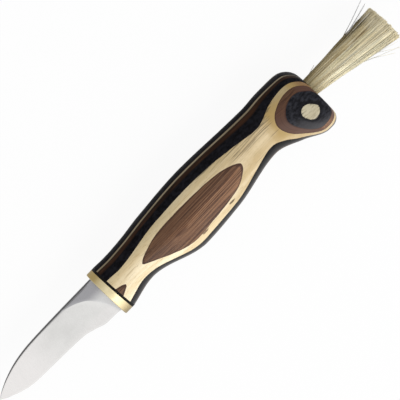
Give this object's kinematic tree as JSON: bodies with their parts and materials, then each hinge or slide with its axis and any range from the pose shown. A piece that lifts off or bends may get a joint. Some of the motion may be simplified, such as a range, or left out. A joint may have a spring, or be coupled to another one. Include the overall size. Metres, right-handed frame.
{
  "type": "mushroom knife",
  "caption": "Mushroom knife with a short curved blade, a brass bolster, a carved handle of layered dyed wood and a natural bristle brush in the butt.",
  "frame": {"origin": "under the middle of the knife's box, on the surface that the knife lies on", "axes": "+X along the knife from the blade's tip to the brush, +Y from the belly of the handle to the spine, +Z through the thickness, towards the left side"},
  "size_m": [0.2157, 0.0334, 0.0251],
  "materials": {
    "steel": "fine ground, satin",
    "pale_brass": "satin",
    "black_fibre": "matte vulcanised fibre",
    "clear_epoxy": "cured clear glue",
    "black_wood": "dyed birch, satin varnish",
    "pale_line_wood": "pale birch, satin varnish",
    "brown_wood": "dyed birch, satin varnish",
    "blond_wood": "birch, satin varnish",
    "outer_brown_wood": "dyed birch, satin varnish",
    "cap_wood": "birch, satin varnish",
    "bristle": "natural bristle",
    "binding_wire": "plain"
  },
  "bodies": {
    "root": {"blade": "steel", "bolster": "pale_brass", "black_liner": "black_fibre", "tang_epoxy": "clear_epoxy", "core_veneer": "black_wood", "left_pale_line": "pale_line_wood", "left_brown_veneer": "brown_wood", "left_black_veneer": "black_wood", "left_blond_veneer": "blond_wood", "left_brown_nose": "outer_brown_wood", "left_brown_belly": "outer_brown_wood", "left_brown_pommel": "outer_brown_wood", "left_black_pommel": "black_wood", "left_pommel_cap": "cap_wood", "right_pale_line": "pale_line_wood", "right_brown_veneer": "brown_wood", "right_black_veneer": "black_wood", "right_blond_veneer": "blond_wood", "right_brown_nose": "outer_brown_wood", "right_brown_belly": "outer_brown_wood", "right_brown_pommel": "outer_brown_wood", "right_black_pommel": "black_wood", "right_pommel_cap": "cap_wood", "brush_tuft": "bristle", "tuft_binding": "binding_wire", "brush_glue": "clear_epoxy"}
  },
  "joints": []
}
